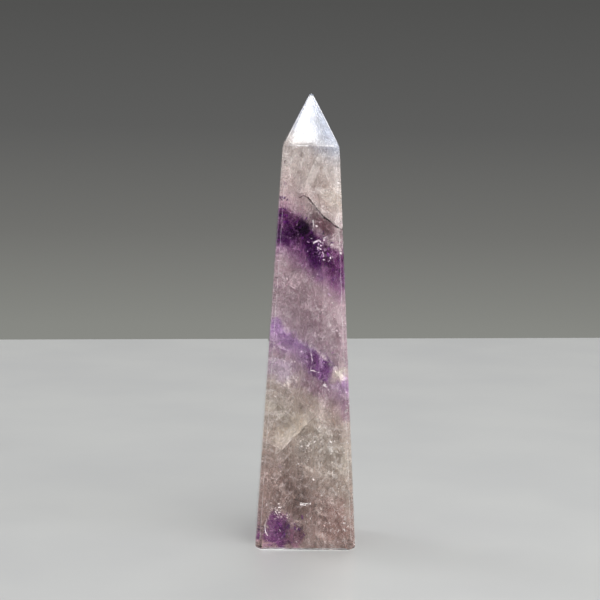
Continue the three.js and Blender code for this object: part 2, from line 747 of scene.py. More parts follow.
@dataclass(frozen=True)
class StoneColours:
    """The colour inside the stone, laid down in slanting growth zones."""

    slope_x: float = 0.78
    slope_y: float = 0.09
    low_mm: float = -12.0
    high_mm: float = 124.0
    rim: float = 1.15
    ragged: float = 0.45
    ragged_grain: Grain = Grain(3.4 * MM, 4, 0.6)
    wander: float = 2.4 * MM
    wander_grain: Grain = Grain(7.0 * MM, 4, 0.6)
    mottle: Pair = (0.78, 1.2)
    mottle_grain: Grain = Grain(2.2 * MM, 4, 0.65)
    speckle: Pair = (0.86, 1.14)
    speckle_grain: Grain = Grain(0.55 * MM, 3, 0.6)
    stops: tuple[ZoneStop, ...] = (
        ZoneStop(-10, srgb(180, 154, 148), 0.75),
        ZoneStop(12, srgb(188, 164, 156), 0.80),
        ZoneStop(20, srgb(200, 184, 174), 0.85),
        ZoneStop(30, srgb(214, 206, 195), 0.90),
        ZoneStop(40, srgb(218, 204, 196), 0.85),
        ZoneStop(44, srgb(208, 186, 190), 0.80),
        ZoneStop(48, srgb(200, 172, 200), 0.70),
        ZoneStop(52.6, srgb(186, 152, 198), 0.65),
        ZoneStop(54, srgb(212, 192, 200), 0.80),
        ZoneStop(70, srgb(210, 188, 194), 0.80),
        ZoneStop(74, srgb(182, 136, 176), 0.60),
        ZoneStop(78, srgb(148, 88, 146), 0.50),
        ZoneStop(84, srgb(146, 86, 136), 0.50),
        ZoneStop(86, srgb(236, 213, 218), 0.70),
        ZoneStop(90, srgb(236, 222, 220), 0.75),
        ZoneStop(96, srgb(234, 225, 220), 0.75),
        ZoneStop(104, srgb(231, 224, 220), 0.75),
        # The blue-grey of the last two stops is a painted reflection of the cool light over the point.
        ZoneStop(111, srgb(214, 220, 232), 0.50),
        ZoneStop(122, srgb(214, 220, 232), 0.50),
    )
    patches: tuple[ColourPatch, ...] = (
        ColourPatch((0.8, 79.0), (2.3, 7.4), -0.26, srgb(108, 28, 128), 0.95, 0.35),
        ColourPatch((-5.6, 82.4), (3.8, 2.6), -0.35, srgb(102, 26, 116), 0.95, 0.45),
        ColourPatch((-1.9, 84.4), (2.1, 3.1), -0.1, srgb(42, 0, 52), 1.0, 0.8),
        ColourPatch((-7.0, 47.0), (5.0, 3.4), 0.66, srgb(206, 188, 212), 0.7),
        ColourPatch((3.2, 48.2), (5.2, 2.7), 0.68, srgb(142, 84, 150), 0.95, 0.3, 0.3),
        ColourPatch((3.0, 42.5), (5.0, 2.4), 0.3, srgb(182, 148, 172), 0.7),
        ColourPatch((11.0, 37.0), (2.2, 3.0), 0.3, srgb(168, 124, 162), 0.6),
        ColourPatch((-7.3, 4.2), (3.6, 4.9), 0.1, srgb(146, 66, 144), 1.0, 0.5, 0.45),
        ColourPatch((-2.9, 3.0), (2.8, 3.0), 0.0, srgb(172, 118, 146), 0.9, 0.2),
        ColourPatch((7.5, 7.0), (4.5, 6.0), 0.0, srgb(194, 156, 148), 0.6),
        ColourPatch((-1.0, 11.5), (7.0, 3.0), 0.1, srgb(142, 112, 104), 0.6),
        ColourPatch((8.0, 46.2), (2.0, 2.7), 0.4, srgb(246, 238, 222), 1.0),
        ColourPatch((5.6, 92.5), (3.6, 2.4), 0.8, srgb(236, 228, 218), 0.6),
        ColourPatch((-4.4, 31.6), (6.4, 2.4), -0.82, srgb(240, 230, 216), 0.8),
        ColourPatch((3.3, 85.7), (4.6, 2.0), 0.77, srgb(160, 112, 126), 0.9),
    )

    def group(self) -> Tree:
        """Makes the shader group: from a place in the stone to its colour and haze.

        Returns:
            The node group, with input Position and outputs Colour and Haze.
        """
        tree = bpy.data.node_groups.new("stone_colours", "ShaderNodeTree")
        add_sockets(tree, "INPUT", Position="Vector")
        add_sockets(tree, "OUTPUT", Colour="Color", Haze="Float")
        bench = NodeBench(tree)
        place = bench.add("NodeGroupInput").outputs["Position"]
        axes = bench.axes(place)
        level = bench.math("ADD", axes["Z"], bench.math("MULTIPLY", axes["X"], self.slope_x))
        level = bench.math("ADD", level, bench.math("MULTIPLY", axes["Y"], self.slope_y))
        wander = bench.spread(place, self.wander_grain, -self.wander, self.wander, smooth=False)
        level = bench.math("ADD", level, wander)
        share = bench.span(level, self.low_mm * MM, self.high_mm * MM, smooth=False)
        reach = self.high_mm - self.low_mm
        zones = bench.ramp(share, [((stop.level_mm - self.low_mm) / reach, (*stop.colour, stop.haze))
                                   for stop in self.stops])
        colour, haze = zones.outputs["Color"], zones.outputs["Alpha"]
        for patch in self.patches:
            strength = self.patch_share(bench, place, patch)
            colour = bench.blend(strength, colour, patch.colour)
            clearing = bench.math("SUBTRACT", 1.0, bench.math("MULTIPLY", strength, patch.clearing))
            haze = bench.math("MULTIPLY", haze, clearing)
        mottle = bench.spread(place, self.mottle_grain, *self.mottle, smooth=False)
        speckle = bench.spread(place, self.speckle_grain, *self.speckle, smooth=False)
        tone = bench.math("MULTIPLY", mottle, speckle)
        gain = bench.add("ShaderNodeCombineColor", {0: tone, 1: tone, 2: tone}).outputs[0]
        colour = bench.blend(1.0, colour, gain, mode="MULTIPLY")
        bench.add("NodeGroupOutput", {"Colour": colour, "Haze": haze})
        return tree

    def patch_share(self, bench: NodeBench, place: Socket, patch: ColourPatch) -> Socket:
        """How strongly one patch shows at a place.

        Args:
            bench: The group's bench.
            place: The place in the stone.
            patch: The patch.

        Returns:
            A value from 0 to the patch's strength.
        """
        across, up = (centre * MM for centre in patch.centre_mm)
        wide, high = (1 / (reach * MM) for reach in patch.reach_mm)
        moved = bench.vector("SUBTRACT", place, (across, 0.0, up))
        turned = bench.stretch(moved, (1, 1, 1), (0.0, -patch.tilt, 0.0))
        away = bench.vector("LENGTH", bench.vector("MULTIPLY", turned, (wide, 0.0, high)))
        ragged = bench.spread(place, self.ragged_grain, -self.ragged, self.ragged, smooth=False)
        away = bench.math("ADD", away, ragged)
        return bench.span(away, self.rim - patch.feather, self.rim, patch.strength, 0.0)


class Finish(ABC):
    """A finish: each kind says what goes into its shader."""

    @abstractmethod
    def inputs(self, bench: NodeBench) -> Inputs:
        """What goes into the shader's inputs, with the nodes for it made on the bench."""

    def material(self, name: str) -> Material:
        """The finish as a material.

        Args:
            name: The material's name.

        Returns:
            The new material.
        """
        made = bpy.data.materials.new(name)
        made.use_nodes = True
        bench = NodeBench(made.node_tree)
        bench.wire(made.node_tree.nodes["Principled BSDF"], self.inputs(bench))
        return made


@dataclass(frozen=True)
class PolishedSkin(Finish):
    """Clear polished quartz, with faint polishing marks and an even tint in its depth."""

    index: float = 1.544
    roughness: float = 0.035
    point_roughness: float = 0.11
    point_start: Pair = (106.3 * MM, 106.7 * MM)
    marks: Grain = Grain(0.5 * MM, 5, 0.7, (0.35, 0.75))
    mark_stretch: Place = (1, 1, 0.12)
    mark_gains: Pair = (0.4, 2.2)
    swell: Grain = Grain(6.0 * MM)
    swell_height: float = 0.1 * MM
    swell_strength: float = 0.25
    depth_colour: Colour = (0.88, 0.80, 0.84)
    depth_density: float = 16.0

    def inputs(self, bench: NodeBench) -> Inputs:
        """What goes into the shader.

        Args:
            bench: The material's bench.

        Returns:
            A value or socket for each input.
        """
        place = bench.place()
        smoothest, roughest = (gain * self.roughness for gain in self.mark_gains)
        rough = bench.spread(bench.stretch(place, self.mark_stretch), self.marks, smoothest, roughest)
        duller = bench.span(bench.axes(place)["Z"], *self.point_start, 0.0, self.point_roughness)
        swell = bench.add("ShaderNodeBump", {
            "Strength": self.swell_strength, "Distance": self.swell_height,
            "Height": bench.noise(place, self.swell)})
        bench.absorb(self.depth_colour, self.depth_density)
        return {"Transmission Weight": 1.0, "IOR": self.index, "Base Color": WHITE,
                "Roughness": bench.math("ADD", rough, duller), "Normal": swell.outputs["Normal"]}


@dataclass(frozen=True)
class ZoneTint(Finish):
    """A growth zone that only takes light away, with no surface of its own to see."""

    colour: Colour
    density: float

    def inputs(self, bench: NodeBench) -> Inputs:
        """What goes into the shader.

        Args:
            bench: The material's bench.

        Returns:
            A value for each input.
        """
        bench.absorb(self.colour, self.density)
        return {"Transmission Weight": 1.0, "IOR": 1.0, "Base Color": WHITE, "Roughness": 0.0,
                "Specular IOR Level": 0.0}


@dataclass(frozen=True)
class VeilFinish(Finish):
    """A healed fracture full of tiny bubbles: a broken, milky film.

    The cloud range sets where the film thickens, from its thin cover to a full one. The
    number called grain is its cover between the grains, net is how strongly its fine
    cracks show, and whitening is how pale its thick places are.
    """

    colours: Tree
    cloud: Pair
    thin: float
    grain: float
    net: float
    whitening: float
    least_haze: float = 0.0
    clouds: Grain = Grain(5.0 * MM, 5, 0.62, bend=0.8)
    grains: Grain = Grain(0.7 * MM, 4, 0.7, (0.38, 0.62))
    grain_stretch: Place = (1, 1, 0.6)
    pale_grains: Pair = (0.5, 0.7)
    bends: Grain = Grain(2.0 * MM, 3, values=(0.46, 0.6))
    bend_reach: float = 2.2 * MM
    coarse: CrackNet = CrackNet(2.6 * MM, 0.045, (1, 1, 0.7), (0.3, 0.6, 0.2))
    fine: CrackNet = CrackNet(1.1 * MM, 0.06, (0.6, 1, 1), (0.1, -0.7, 0.4))
    fine_share: float = 0.6
    full_haze: float = 0.8
    least_net: float = 0.15
    roughness: float = 0.55
    specular: float = 0.05
    white: Colour = srgb(246, 240, 240)

    def inputs(self, bench: NodeBench) -> Inputs:
        """What goes into the shader.

        Args:
            bench: The material's bench.

        Returns:
            A value or socket for each input.
        """
        place = bench.place()
        colour, haze = bench.add("ShaderNodeGroup", {"Position": place}, node_tree=self.colours).outputs
        film = bench.span(bench.noise(place, self.clouds), *self.cloud, self.thin, 1.0)
        grain = bench.noise(bench.stretch(place, self.grain_stretch), self.grains)
        film = bench.math("MULTIPLY", film, bench.span(grain, *self.grains.values, self.grain, 1.0))
        bend = bench.noise(place, self.bends)
        drift = bench.vector("SUBTRACT", bend.node.outputs["Color"], (0.5, 0.5, 0.5))
        bent = bench.vector("ADD", place, bench.vector("SCALE", drift, scale=self.bend_reach))
        fine = bench.math("MULTIPLY", bench.cracks(bent, self.fine), self.fine_share)
        lines = bench.math("MAXIMUM", bench.cracks(bent, self.coarse), fine)
        lines = bench.math("MULTIPLY", lines, bench.span(bend, *self.bends.values))
        film = bench.math("MULTIPLY", film, bench.math("MAXIMUM", haze, self.least_haze))
        shown = bench.span(haze, 0.0, self.full_haze, self.least_net * self.net, self.net, smooth=False)
        film = bench.math("ADD", film, bench.math("MULTIPLY", lines, shown), clamp=True)
        pale = bench.math("MAXIMUM", lines, bench.span(grain, *self.pale_grains))
        pale = bench.math("MULTIPLY", pale, bench.math("MULTIPLY", haze, self.whitening))
        return {"Alpha": film, "Base Color": bench.blend(pale, colour, self.white),
                "Roughness": self.roughness, "Specular IOR Level": self.specular}


@dataclass(frozen=True)
class FleckFinish(Finish):
    """Small open cracks whose glints are painted, as colour running towards silver white, with a little
    metallic sheen.
    """

    colours: Tree
    # How far the colour runs towards the painted glint white.
    pale: float
    metallic: float
    roughness: float
    speckle: Grain = Grain(0.3 * MM)
    pale_steps: Pair = (-0.2, 0.1)
    painted_glint_white: Colour = srgb(252, 246, 246)

    def inputs(self, bench: NodeBench) -> Inputs:
        """What goes into the shader.

        Args:
            bench: The material's bench.

        Returns:
            A value or socket for each input.
        """
        place = bench.place()
        stone = bench.add("ShaderNodeGroup", {"Position": place}, node_tree=self.colours)
        share = bench.spread(place, self.speckle, *(self.pale + step for step in self.pale_steps))
        return {"Base Color": bench.blend(share, stone.outputs["Colour"], self.painted_glint_white),
                "Metallic": self.metallic, "Roughness": self.roughness}


@dataclass(frozen=True)
class MottledFinish(Finish):
    """A finish that wanders between two colours, and may be broken by gaps."""

    first: Colour
    second: Colour
    tones: Grain
    roughness: float
    specular: float = 0.05
    gaps: Grain | None = None
    cover: Pair = (0.0, 1.0)

    def inputs(self, bench: NodeBench) -> Inputs:
        """What goes into the shader.

        Args:
            bench: The material's bench.

        Returns:
            A value or socket for each input.
        """
        place = bench.place()
        shader = {"Base Color": bench.blend(bench.spread(place, self.tones), self.first, self.second),
                  "Roughness": self.roughness, "Specular IOR Level": self.specular}
        if self.gaps:
            shader["Alpha"] = bench.spread(place, self.gaps, *self.cover)
        return shader


@dataclass(frozen=True)
class ShardFinish(MottledFinish):
    """Thin sheets of deeper or paler colour, broken at their rims."""

    tones: Grain = Grain(0.9 * MM, 4, 0.65, (0.36, 0.66))
    roughness: float = 0.45
    gaps: Grain = Grain(1.3 * MM, 4, values=(0.4, 0.55))


@dataclass(frozen=True)
class DarkFinish(MottledFinish):
    """Brown and black iron grains and stained cracks."""

    first: Colour = srgb(22, 6, 22)
    second: Colour = srgb(74, 44, 56)
    tones: Grain = Grain(0.25 * MM, 3, values=(0.35, 0.65))
    roughness: float = 0.5
    specular: float = 0.1


@dataclass(frozen=True)
class EdgeHighlightFinish(MottledFinish):
    """Painted highlights: pale white colour standing in for the light caught on the edges, thick in some
    places and gone in others.
    """

    first: Colour = srgb(236, 232, 234)
    second: Colour = srgb(252, 251, 252)
    tones: Grain = Grain(2.5 * MM, 5, 0.7)
    roughness: float = 0.6
    gaps: Grain = Grain(2.5 * MM, 5, 0.7, (0.34, 0.56))
    cover: Pair = (0.15, 0.8)


@dataclass(frozen=True)
class FloorFinish(MottledFinish):
    """A pale floor with a slight gloss."""

    first: Colour = srgb(188, 189, 189)
    second: Colour = srgb(193, 194, 193)
    tones: Grain = Grain(60.0 * MM, 3)
    roughness: float = 0.32
    specular: float = 0.25


class Look(Enum):
    """The finishes of what lies inside the stone."""

    CORE = "core_veil"
    WISP = "wisp_veil"
    FOOT = "foot_veil"
    LOW = "low_veil"
    PALE = "pale_fracture"
    FAINT = "faint_fracture"
    # The glint look and the bright and soft flecks paint glints in their colour.
    GLINT = "painted_glints"
    BRIGHT = "painted_glint_flecks"
    SOFT = "soft_painted_glint_flecks"
    VIOLET = "violet_shards"
    LILAC = "lilac_shards"
    DARK = "dark_grains"
    # Pale strips along the edges that paint the edge highlights.
    EDGE_HIGHLIGHT = "painted_edge_highlight"


def inner_materials(colours: Tree) -> dict[Look, Material]:
    """Makes the materials of what lies inside the stone.

    Args:
        colours: The shader group with the stone's colours.

    Returns:
        The material for each look.
    """
    # A veil's numbers: its cloud range, thin cover, grain, net, whitening and least haze.
    finishes = {
        Look.CORE: VeilFinish(colours, (0.30, 0.58), 0.55, 0.6, 0.15, 0.4, 0.85),
        Look.WISP: VeilFinish(colours, (0.46, 0.66), 0.04, 0.15, 0.6, 0.8),
        Look.FOOT: VeilFinish(colours, (0.2, 0.4), 0.9, 0.9, 0.1, 0.8),
        Look.LOW: VeilFinish(colours, (0.2, 0.4), 0.85, 0.8, 0.2, 0.4),
        Look.PALE: VeilFinish(colours, (0.25, 0.55), 0.6, 0.65, 0.2, 0.9),
        Look.FAINT: VeilFinish(colours, (0.35, 0.6), 0.3, 0.5, 0.3, 0.7),
        # White sheets whose colour paints glints off cracks.
        Look.GLINT: ShardFinish(srgb(216, 204, 206), srgb(255, 252, 252), cover=(0.0, 0.95)),
        # Flecks whose whitened colour paints their glints.
        Look.BRIGHT: FleckFinish(colours, 0.95, 0.15, 0.3),
        Look.SOFT: FleckFinish(colours, 0.45, 0.0, 0.5),
        Look.VIOLET: ShardFinish(srgb(70, 10, 90), srgb(122, 50, 138), cover=(0.0, 0.8)),
        Look.LILAC: ShardFinish(srgb(168, 124, 178), srgb(214, 186, 216), cover=(0.0, 0.4)),
        Look.DARK: DarkFinish(),
        # Painted edge highlights.
        Look.EDGE_HIGHLIGHT: EdgeHighlightFinish(),
    }
    return {look: finish.material(look.value) for look, finish in finishes.items()}


@dataclass(frozen=True)
class Slant:
    """How the top or the bottom of a growth zone slopes and wanders."""

    slope_x: float
    slope_y: float
    wave_mm: float
    seed: int
    wave_length: float = 9.0 * MM

    def heights(self, level_mm: float, number: int) -> Heights:
        """The face of one slab.

        Args:
            level_mm: Its height on the stone's axis.
            number: The slab's number, which gives it waves of its own.

        Returns:
            The face's height as a function of the place in the stone's section.
        """
        waves = Waves(self.seed + number, self.wave_mm * MM, self.wave_length)
        return slanting(level_mm * MM, self.slope_x, self.slope_y, waves)


@dataclass(frozen=True)
class GrowthZone:
    """A slanting band of tinted stone: slabs inside one another, so that its rims are soft."""

    name: str
    tint: ZoneTint
    levels_mm: tuple[Pair, ...]
    top: Slant
    bottom: Slant
    inset: float = 0.25 * MM
    inset_step: float = 0.06 * MM
    least_thickness: float = 0.05 * MM
    steps: int = 40

    def faces(self) -> list[list[int]]:
        """The faces of a slab, whose top points come before its bottom points.

        Returns:
            The top, the bottom and the rim, as point numbers.
        """
        side, count = self.steps, self.steps**2
        sheet = grid_faces(side, side)
        edge = [*range(side), *range(2 * side - 1, count, side),
                *range(count - 2, count - side - 1, -1), *range(count - 2 * side, 0, -side)]
        rim = [[there, here, here + count, there + count] for here, there in zip(edge, edge[1:] + edge[:1])]
        return sheet.tolist() + (sheet[:, ::-1] + count).tolist() + rim

    def build(self, form: StoneForm) -> list[Thing]:
        """Makes the closed slabs and dresses them.

        Args:
            form: The cut form.

        Returns:
            The slabs, from the largest to the smallest.
        """
        tint = self.tint.material(f"{self.name}_tint")
        slabs = []
        for number, (high, low) in enumerate(self.levels_mm):
            inset = self.inset + number * self.inset_step
            top = fit_across(form, self.top.heights(high, number), inset, self.steps)
            bottom = fit_across(form, self.bottom.heights(low, number), inset, self.steps)
            bottom[:, 2] = np.minimum(bottom[:, 2], top[:, 2] - self.least_thickness)
            points = np.concatenate([top, bottom])
            faces = facing_out(points, self.faces())
            name = f"{self.name}_{number + 1}"
            slabs.append(mesh_object(name, points, faces, tint, smooth=False, shades=False))
        return slabs


ZONES = (
    GrowthZone("upper_purple", ZoneTint((0.62, 0.36, 0.62), 62.0),
               ((84.5, 73.0), (84.0, 74.5), (83.4, 76.2), (82.8, 78.0)),
               Slant(-0.78, -0.09, 0.9, 11), Slant(-0.80, -0.22, 1.1, 21)),
    GrowthZone("middle_purple", ZoneTint((0.66, 0.48, 0.70), 18.0),
               ((53.2, 46.2), (52.8, 48.0), (52.4, 50.0)),
               Slant(-0.78, -0.09, 0.5, 31), Slant(-0.74, -0.3, 1.0, 41)),
    GrowthZone("smoky_foot", ZoneTint((0.78, 0.72, 0.68), 20.0), ((33.0, 0.4), (24.0, 0.4)),
               Slant(0.4, -0.2, 1.4, 51), Slant(0.0, 0.0, 0.0, 61), inset=0.30 * MM),
)


class Lie(Enum):
    """Which way a veil runs through the stone."""

    FACING_FRONT = "front"
    FACING_SIDE = "side"
    LEVEL = "level"
    WITH_GROWTH = "growth"
    ACROSS_GROWTH = "across"


LYING_SLOPES = {
    Lie.WITH_GROWTH: (-0.78, (-0.08, 0.08), (-0.5, 0.35)),
    Lie.ACROSS_GROWTH: (1.0, (-0.2, 0.3), (-0.7, 0.7)),
}


@dataclass
class VeilFamily:
    """Healed fractures that run the same way, joined into one piece.

    An offset is a standing veil's place, as a share of the way from the middle to a side,
    or a lying veil's height on the stone's axis. Flecks are strewn on a family that carries.
    """

    name: str
    look: Look
    lie: Lie
    offsets: Sequence[float]
    seed: int
    wave: float = 1.5 * MM
    inset: float = 0.45 * MM
    carries: bool = True
    seeds_apart: int = 100
    standing_rows: int = 110
    standing_columns: int = 26
    standing_wave_length: float = 14.0 * MM
    standing_ends: Pair = (0.08 * MM, 1.6 * MM)
    standing_reach: float = 0.985
    standing_least: float = 0.1 * MM
    lean: float = 0.2
    twist: Pair = (0.2, 0.5)
    lying_steps: int = 34
    lying_wave_length: float = 10.0 * MM

    def standing(self, form: StoneForm, offset: float, seed: int) -> Sheet:
        """A veil that stands upright.

        Args:
            form: The cut form.
            offset: Where it stands.
            seed: The seed for its lean and its waves.

        Returns:
            The veil.
        """
        rows, columns = self.standing_rows, self.standing_columns
        draw = np.random.default_rng(seed)
        lean = draw.uniform(-self.lean, self.lean)
        twist = draw.choice([-1, 1]) * draw.uniform(*self.twist)
        waves = Waves(seed, self.wave, self.standing_wave_length)
        low, gap = self.standing_ends
        up, side = np.linspace(low, form.height - gap, rows), np.linspace(-1, 1, columns)
        level, across = (part.ravel() for part in np.meshgrid(up, side, indexing="ij"))
        width = np.maximum(form.half(level) - self.inset, self.standing_least)
        through = offset + lean * (2 * level / form.height - 1) + twist * across
        through = through + waves.at(across * width, level) / width
        through = np.clip(through, -self.standing_reach, self.standing_reach)
        points = np.column_stack([across * width, through * width, level])
        if self.lie is Lie.FACING_SIDE:
            points = points[:, [1, 0, 2]]
        return points, grid_faces(rows, columns)

    def lying(self, form: StoneForm, offset: float, seed: int) -> Sheet:
        """A veil that crosses the stone, level or on a slant.

        Args:
            form: The cut form.
            offset: Its height on the stone's axis.
            seed: The seed for its slope and its waves.

        Returns:
            The veil.
        """
        draw = np.random.default_rng(seed)
        slopes = (0.0, 0.0)
        if self.lie in LYING_SLOPES:
            rise, spare, backwards = LYING_SLOPES[self.lie]
            slopes = (rise + draw.uniform(*spare), draw.uniform(*backwards))
        heights = slanting(offset, *slopes, Waves(seed, self.wave, self.lying_wave_length))
        points = fit_across(form, heights, self.inset, self.lying_steps)
        return points, grid_faces(self.lying_steps, self.lying_steps)

    def build(self, form: StoneForm, material: Material) -> Thing:
        """Makes the family's veils as one mesh and dresses it.

        Args:
            form: The cut form.
            material: What it is dressed in.

        Returns:
            The piece.
        """
        make = self.standing if self.lie in (Lie.FACING_FRONT, Lie.FACING_SIDE) else self.lying
        seeds = range(self.seed * self.seeds_apart, (self.seed + 1) * self.seeds_apart)
        sheets = [make(form, offset, seed) for offset, seed in zip(self.offsets, seeds)]
        return mesh_object(self.name, *join_sheets(sheets), material)


VEILS = (
    VeilFamily("veils_core_front", Look.CORE, Lie.FACING_FRONT, (-0.32, 0.02, 0.36), 1),
    VeilFamily("veils_core_side", Look.CORE, Lie.FACING_SIDE, (-0.42, -0.04, 0.4), 2),
    VeilFamily("veil_foot", Look.FOOT, Lie.LEVEL, (0.16 * MM,), 7, 0.02 * MM, 0.6 * MM, carries=False),
    VeilFamily("veils_wisp_front", Look.WISP, Lie.FACING_FRONT, (-0.9, -0.66, 0.7, 0.92), 5),
    VeilFamily("veils_wisp_side", Look.WISP, Lie.FACING_SIDE, (-0.9, -0.64, 0.66, 0.9), 6),
    VeilFamily("veils_growth", Look.WISP, Lie.WITH_GROWTH, [level * MM for level in range(4, 112, 9)], 3),
    VeilFamily("veils_across", Look.WISP, Lie.ACROSS_GROWTH, [level * MM for level in range(9, 108, 13)], 4),
)


@dataclass(frozen=True)
class Cluster:
    """A place where flecks gather."""

    centre_mm: Place
    reach_mm: float
    strength: float


@dataclass
class FleckScatter:
    """Small flat flecks strewn over the veils by Geometry Nodes.

    Spread is the share of the density that flecks have away from the clusters.
    """

    name: str
    look: Look
    per_square_mm: float
    sizes_mm: Pair
    seed: int
    clusters: Sequence[Cluster] = ()
    corners: int = 5
    spread: float = 1.0
    margin: float = 0.08 * MM
    narrowest: Place = (0.12, 0.7, 1.0)
    widest: Place = (0.8, 1.4, 1.0)
    tilt: Place = (0.9, 0.9, math.pi)

    def carrier(self, veils: Sequence[Thing]) -> Thing:
        """A copy of the veils that carry the flecks, with a density at each point.

        Args:
            veils: The veils.

        Returns:
            The copy.
        """
        sheets = [mesh_sheet(veil) for veil in veils]
        points, faces = join_sheets([(points, np.array(faces)) for points, faces in sheets])
        weight = np.full(len(points), self.spread)
        for cluster in self.clusters:
            away = np.linalg.norm(points - np.array(cluster.centre_mm) * MM, axis=1)
            weight += cluster.strength * np.exp(-((away / (cluster.reach_mm * MM)) ** 2))
        thing = mesh_object(self.name + "_carrier", points, faces)
        layer = thing.data.attributes.new("gathering", "FLOAT", "POINT")
        layer.data.foreach_set("value", weight.astype(np.float32))
        return thing

    def tree(self, material: Material) -> Tree:
        """The Geometry Nodes tree that strews the flecks.

        Args:
            material: What the flecks are dressed in.

        Returns:
            The tree, with inputs for density, sizes and seed.
        """
        tree = bpy.data.node_groups.new(self.name + "_scatter", "GeometryNodeTree")
        add_sockets(tree, "INPUT", Geometry="Geometry", Density="Float", Smallest="Float", Largest="Float",
                    Seed="Int")
        add_sockets(tree, "OUTPUT", Geometry="Geometry")
        bench = NodeBench(tree)
        given = bench.add("NodeGroupInput").outputs
        seed = given["Seed"]
        gathering = bench.add("GeometryNodeInputNamedAttribute", {"Name": "gathering"}, data_type="FLOAT")
        density = bench.math("MULTIPLY", gathering.outputs["Attribute"], given["Density"])
        strewn = bench.add("GeometryNodeDistributePointsOnFaces", {
            "Mesh": given["Geometry"], "Density": density, "Seed": seed}).outputs
        plate = bench.add("GeometryNodeMeshCircle", {"Vertices": self.corners, "Radius": 0.5},
                          fill_type="NGON")
        size = bench.add("FunctionNodeRandomValue", {
            2: given["Smallest"], 3: given["Largest"], "Seed": seed}, data_type="FLOAT")
        squash, tilt = (
            bench.add("FunctionNodeRandomValue", {0: least, 1: most, "Seed": seed}, data_type="FLOAT_VECTOR")
            for least, most in ((self.narrowest, self.widest), ([-angle for angle in self.tilt], self.tilt)))
        turned = bench.add("FunctionNodeRotateRotation", {0: strewn["Rotation"], 1: tilt.outputs[0]},
                           rotation_space="LOCAL")
        placed = bench.add("GeometryNodeInstanceOnPoints", {
            "Points": strewn["Points"], "Instance": plate.outputs["Mesh"], "Rotation": turned.outputs[0],
            "Scale": bench.vector("SCALE", squash.outputs[0], scale=size.outputs[1])})
        real = bench.add("GeometryNodeRealizeInstances", {"Geometry": placed.outputs["Instances"]})
        dressed = bench.add("GeometryNodeSetMaterial", {
            "Geometry": real.outputs["Geometry"], "Material": material})
        bench.add("NodeGroupOutput", {"Geometry": dressed.outputs["Geometry"]})
        return tree

    def trimmed(self, strewn: Thing, skin: StoneSkin, material: Material) -> Thing:
        """Keeps the flecks that lie wholly inside the stone.

        Args:
            strewn: All the flecks, which this removes.
            skin: The stone's skin.
            material: What the flecks are dressed in.

        Returns:
            The flecks that are kept, as a new object.
        """
        points, faces = mesh_sheet(strewn)
        inside = skin.depth(points) < -self.margin
        faces = [face for face in faces if inside[face].all()]
        used = sorted({corner for face in faces for corner in face})
        places = {corner: place for place, corner in enumerate(used)}
        faces = [[places[corner] for corner in face] for face in faces]
        bpy.data.objects.remove(strewn)
        return mesh_object(self.name, points[used], faces, material, smooth=False)

    def build(self, skin: StoneSkin, veils: Sequence[Thing], material: Material) -> Thing:
        """Strews the flecks and dresses them.

        Args:
            skin: The stone's skin.
            veils: The veils that carry the flecks.
            material: What the flecks are dressed in.

        Returns:
            The flecks as a plain mesh.
        """
        carrier = self.carrier(veils)
        modifier = carrier.modifiers.new("scatter", "NODES")
        modifier.node_group = self.tree(material)
        smallest, largest = self.sizes_mm
        settings = {"Density": self.per_square_mm / MM**2, "Smallest": smallest * MM,
                    "Largest": largest * MM, "Seed": self.seed}
        for item in modifier.node_group.interface.items_tree:
            if item.in_out == "INPUT" and item.name in settings:
                modifier[item.identifier] = settings[item.name]
        return self.trimmed(plain_copy(carrier, self.name + "_strewn"), skin, material)


def plain_copy(source: Thing, name: str) -> Thing:
    """Turns an object with a modifier into a plain mesh object, and removes the first.

    Args:
        source: The object with its modifier.
        name: The plain object's name.

    Returns:
        The plain object.
    """
    graph = bpy.context.evaluated_depsgraph_get()
    graph.update()
    mesh = bpy.data.meshes.new_from_object(source.evaluated_get(graph))
    plain = bpy.data.objects.new(name, mesh)
    bpy.context.scene.collection.objects.link(plain)
    source.modifiers.clear()
    bpy.data.objects.remove(source)
    return plain


BAND = tuple(Cluster(spot, 3.0, 1.0) for spot in (
    (-7.0, -3.0, 87.0), (-3.0, -5.0, 84.5), (1.0, -5.0, 81.0), (5.0, -5.0, 77.5), (8.0, -3.0, 74.0)))
STAINS = BAND + (Cluster((-6.5, -7.0, 4.5), 3.6, 1.2), Cluster((3.5, -6.0, 48.0), 3.0, 0.8))
# The bright, soft and fine flecks paint glints with their whitened colour; the dark grains and the shards
# are the stone's own colour.
SCATTERS = (
    FleckScatter("flecks_painted_glint_bright", Look.BRIGHT, 0.02, (0.15, 0.9), 5, (
        Cluster((3.0, -7.5, 80.0), 2.4, 40.0), Cluster((-0.6, -9.0, 27.0), 3.2, 60.0),
        Cluster((8.0, -9.0, 28.0), 2.6, 25.0), Cluster((-7.6, -10.0, 9.4), 2.3, 60.0),
        Cluster((9.5, -10.0, 5.0), 3.2, 35.0)), corners=6),
    FleckScatter("flecks_painted_glint_soft", Look.SOFT, 0.10, (0.15, 0.6), 6),
    FleckScatter("flecks_painted_glint_fine", Look.BRIGHT, 0.02, (0.08, 0.3), 19, (
        Cluster((-0.6, -9.0, 27.0), 4.2, 90.0), Cluster((8.0, -9.0, 28.0), 3.0, 60.0),
        Cluster((-9.6, -8.8, 34.5), 1.8, 60.0), Cluster((-9.4, -8.6, 48.0), 1.4, 50.0),
        Cluster((-7.6, -10.0, 9.4), 2.4, 80.0), Cluster((9.5, -10.0, 5.0), 3.6, 60.0),
        Cluster((2.6, -7.5, 80.0), 2.0, 60.0)), spread=0.0),
    FleckScatter("grains_dark", Look.DARK, 0.008, (0.1, 0.4), 7, (
        Cluster((-1.5, -5.0, 85.5), 2.0, 25.0), Cluster((8.4, -6.0, 81.0), 1.8, 60.0)), corners=7),
    FleckScatter("shards_violet", Look.VIOLET, 0.6, (0.5, 2.0), 17, STAINS, spread=0.0),
    FleckScatter("shards_lilac", Look.LILAC, 0.10, (0.4, 1.6), 18, STAINS, spread=0.05),
)


